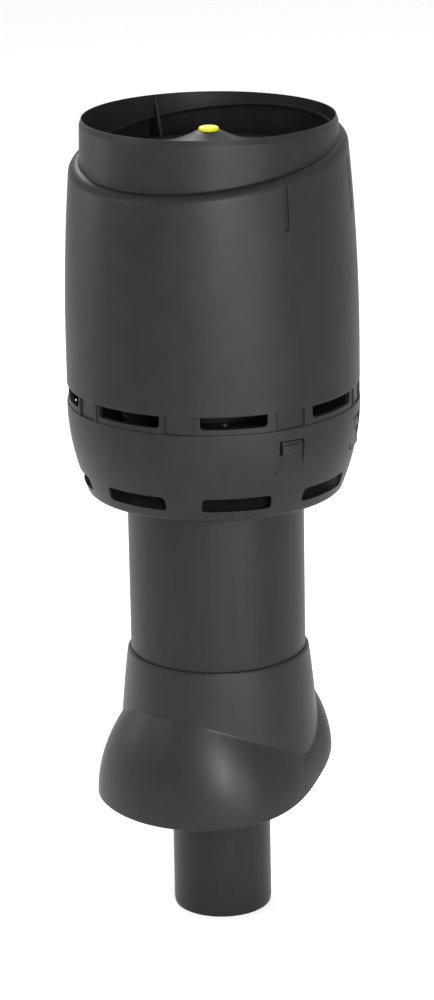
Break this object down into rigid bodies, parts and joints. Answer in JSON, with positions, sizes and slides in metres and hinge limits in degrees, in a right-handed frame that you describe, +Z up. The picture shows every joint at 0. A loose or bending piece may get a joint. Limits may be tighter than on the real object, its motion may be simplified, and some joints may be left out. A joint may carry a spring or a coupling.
{
  "type": "sewer vent pipe",
  "caption": "Roof sewer vent: insulated pipe with a chamfered drain spigot, a storm collar with a flared skirt, and a slotted rain hat with a slanted shoulder, an open mouth and a rain cone.",
  "frame": {"origin": "on the pipe's axis, at the bottom end of the drain spigot", "axes": "+Z up along the pipe; -Y is the low side, towards which the roof falls and the hat's shoulder and the skirt slant; +X is level along the roof"},
  "size_m": [0.3188, 0.3188, 0.904],
  "materials": {
    "hat_black": "fine satin grain, anthracite",
    "pipe_black": "smooth satin, anthracite",
    "collar_black": "fine satin grain, anthracite",
    "seal_rubber": "moulded",
    "foam": "bead foam",
    "screw_steel": "stainless",
    "plug_yellow": "gloss"
  },
  "bodies": {
    "root": {"drain_pipe": "pipe_black", "insulation": "foam", "outer_pipe": "pipe_black", "end_ring": "hat_black", "storm_collar": "collar_black", "collar_seal": "seal_rubber", "drain_bowl": "hat_black", "hub_seal": "seal_rubber", "pipe_screws": "screw_steel", "exhaust_nozzle": "hat_black", "nozzle_seal": "seal_rubber", "flange_screws": "screw_steel", "hat_shell": "hat_black", "mouth_ring": "hat_black", "cone_fins": "hat_black", "rain_cone": "hat_black", "cone_underside": "hat_black", "cone_screw": "screw_steel", "cone_nut": "screw_steel", "cone_plug": "plug_yellow"}
  },
  "joints": []
}
